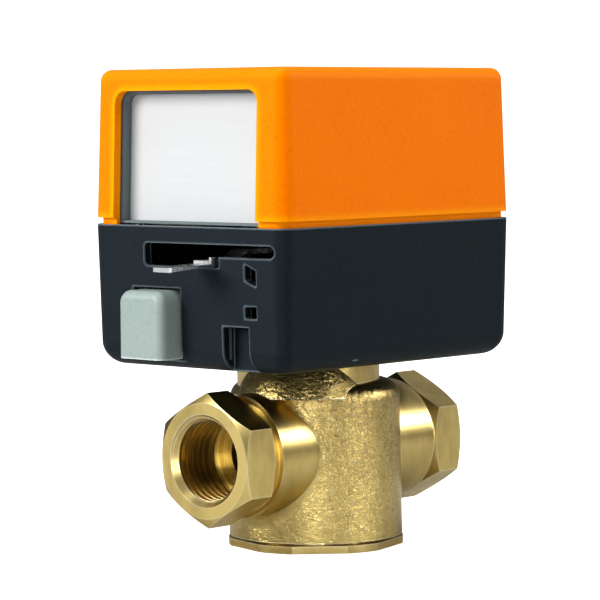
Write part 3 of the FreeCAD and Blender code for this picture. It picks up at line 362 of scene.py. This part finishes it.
def forged_brass(name):
    """Blasted forging with turned ends: pitted skin and streaks, smooth tool-marked ends."""
    paint = Paint(name, (0.74, 0.58, 0.23), 0.36, metallic=1.0)
    skin = forged_skin(paint)
    clouds = paint.ramp(paint.noise(75, 4, 0.6, (1, 1, 0.5)), ((0.36, 0.6), (0.60, 0.0)))
    paint.tint(clouds, (0.34, 0.25, 0.10))
    pits = paint.noise(850, 3, 0.75)
    dark = paint.ramp(pits, ((0.34, 0.40), (0.46, 0.0)))
    light = paint.ramp(pits, ((0.56, 0.0), (0.70, 0.35)))
    paint.tint(calculate(paint, "MULTIPLY", dark, skin), (0.30, 0.21, 0.08))
    paint.tint(calculate(paint, "MULTIPLY", light, skin), (0.95, 0.84, 0.56))
    # painted highlight on the rims, standing in for light caught by the small roundings
    painted_edge_highlight(paint, 0.0006, (1.0, 0.93, 0.66), 0.8)
    paint.rough(skin, 0.30, 0.25)
    streaks = paint.noise(420, 4, 0.6, (1, 1, 0.16))
    paint.bump(calculate(paint, "MULTIPLY", paint.noise(160, 3, 0.55), skin), 0.22, 0.0008)
    paint.bump(calculate(paint, "MULTIPLY", streaks, skin), 0.60, 0.0006)
    paint.bump(calculate(paint, "MULTIPLY", pits, skin), 0.60, 0.0004)
    paint.bump(paint.noise(420, 3, 0.6, (1, 0.12, 1)), 0.06, 0.0001)
    return paint.material


def turned_brass(name):
    """Brass off the lathe, with faint tool marks round the Z axis."""
    paint = Paint(name, (0.76, 0.60, 0.25), 0.30, metallic=1.0)
    clouds = paint.ramp(paint.noise(140, 4, 0.6), ((0.34, 0.5), (0.58, 0.0)))
    paint.tint(clouds, (0.52, 0.36, 0.11))
    # painted highlight on the rims, standing in for light caught by the small roundings
    painted_edge_highlight(paint, 0.0005, (1.0, 0.94, 0.70), 0.8)
    marks = paint.noise(700, 3, 0.6, (0.15, 0.15, 1))
    paint.rough(marks, 0.20, 0.38)
    paint.bump(marks, 0.12, 0.0001)
    return paint.material


def steel(name, colour, roughness, stretch):
    """Drawn or ground steel with fine lines along one way."""
    paint = Paint(name, colour, roughness, metallic=1.0)
    lines = paint.noise(250, 3, 0.6, stretch)
    # painted highlight on the rims, in white
    painted_edge_highlight(paint, 0.0003, (1.0, 1.0, 1.0), 0.6)
    paint.rough(lines, roughness - 0.08, roughness + 0.12)
    paint.bump(lines, 0.08, 0.0001)
    return paint.material


def rubber(name):
    paint = Paint(name, (0.020, 0.020, 0.021), 0.62, specular=0.35)
    paint.rough(paint.noise(400, 3), 0.52, 0.72)
    paint.bump(paint.noise(1800, 2), 0.12, 0.0001)
    return paint.material


def brushed_plate(name):
    """The name plate: white lacquer over a faintly brushed sheet."""
    paint = Paint(name, (0.55, 0.565, 0.57), 0.42, specular=0.3)
    lines = paint.noise(600, 3, 0.6, (0.08, 1, 2.2))
    paint.tint(paint.ramp(lines, ((0.42, 0.0), (0.80, 0.5))), (0.50, 0.53, 0.54))
    paint.tint(paint.ramp(paint.speckle(330), ((0.0, 0.22), (0.06, 0.0))), (0.36, 0.38, 0.40))
    paint.bump(lines, 0.05, 0.0001)
    return paint.material


ORANGE = (0.92, 0.215, 0.0)
CHARCOAL = (0.0078, 0.0112, 0.0130)


def make_materials():
    return {
        "forged_brass": forged_brass("forged_brass"),
        "turned_brass": turned_brass("turned_brass"),
        "stainless_steel": steel("stainless_steel", (0.70, 0.71, 0.72), 0.25, (1, 1, 0.05)),
        "spring_steel": steel("spring_steel", (0.38, 0.39, 0.40), 0.35, (1, 1, 0.2)),
        "zinc_plated_steel": steel("zinc_plated_steel", (0.86, 0.87, 0.88), 0.24, (0.2, 1, 1)),
        "motor_steel": steel("motor_steel", (0.48, 0.49, 0.50), 0.40, (1, 1, 0.05)),
        "black_rubber": rubber("black_rubber"),
        "orange_plastic": moulded(
            "orange_plastic",
            ORANGE,
            (0.80, 0.13, 0.0),
            roughness=0.50,
            grain=0.16,
            specular=0.3,
            # painted highlight along the rounded vertical corner and top rims
            highlight_colour=(1.0, 0.40, 0.0),
            sheen=(1.0, 0.45, 0.0),
            bend=0.0030,
        ),
        "charcoal_plastic": moulded(
            "charcoal_plastic",
            CHARCOAL,
            (0.016, 0.023, 0.030),
            roughness=0.48,
            grain=0.18,
            specular=0.22,
            # painted highlight round the rims of the openings and corners
            highlight_colour=(0.26, 0.31, 0.33),
            sheen=(0.6, 0.8, 1.0),
        ),
        "grey_plastic": moulded("grey_plastic", (0.16, 0.20, 0.21), (0.10, 0.13, 0.14), 0.42, 0.06),
        "button_plastic": moulded(
            "button_plastic",
            (0.29, 0.35, 0.325),
            (0.20, 0.25, 0.24),
            roughness=0.42,
            grain=0.08,
            # painted highlight on the button's rims
            highlight_colour=(0.8, 0.85, 0.82),
        ),
        "white_plate": brushed_plate("white_plate"),
        "white_nylon": moulded("white_nylon", (0.80, 0.79, 0.74), (0.70, 0.68, 0.62), 0.4, 0.04),
        "black_plastic": moulded(
            "black_plastic", (0.02, 0.02, 0.022), (0.05, 0.05, 0.05), 0.4, 0.08
        ),
        "wire_insulation": moulded(
            "wire_insulation", (0.06, 0.14, 0.5), (0.03, 0.08, 0.3), 0.3, 0.02
        ),
    }


def dress_nodes(materials):
    """Each CAD node takes the material of its slot in the record."""
    for row in frame["record"]["subparts"]:
        node = frame["nodes"][row["node"]]
        node.data.materials.clear()
        node.data.materials.append(materials[row["material_slot"]])


make_camera()
make_studio()
dress_nodes(make_materials())

bpy.context.scene.view_settings.view_transform = "Standard"
bpy.context.scene.view_settings.look = "Medium High Contrast"
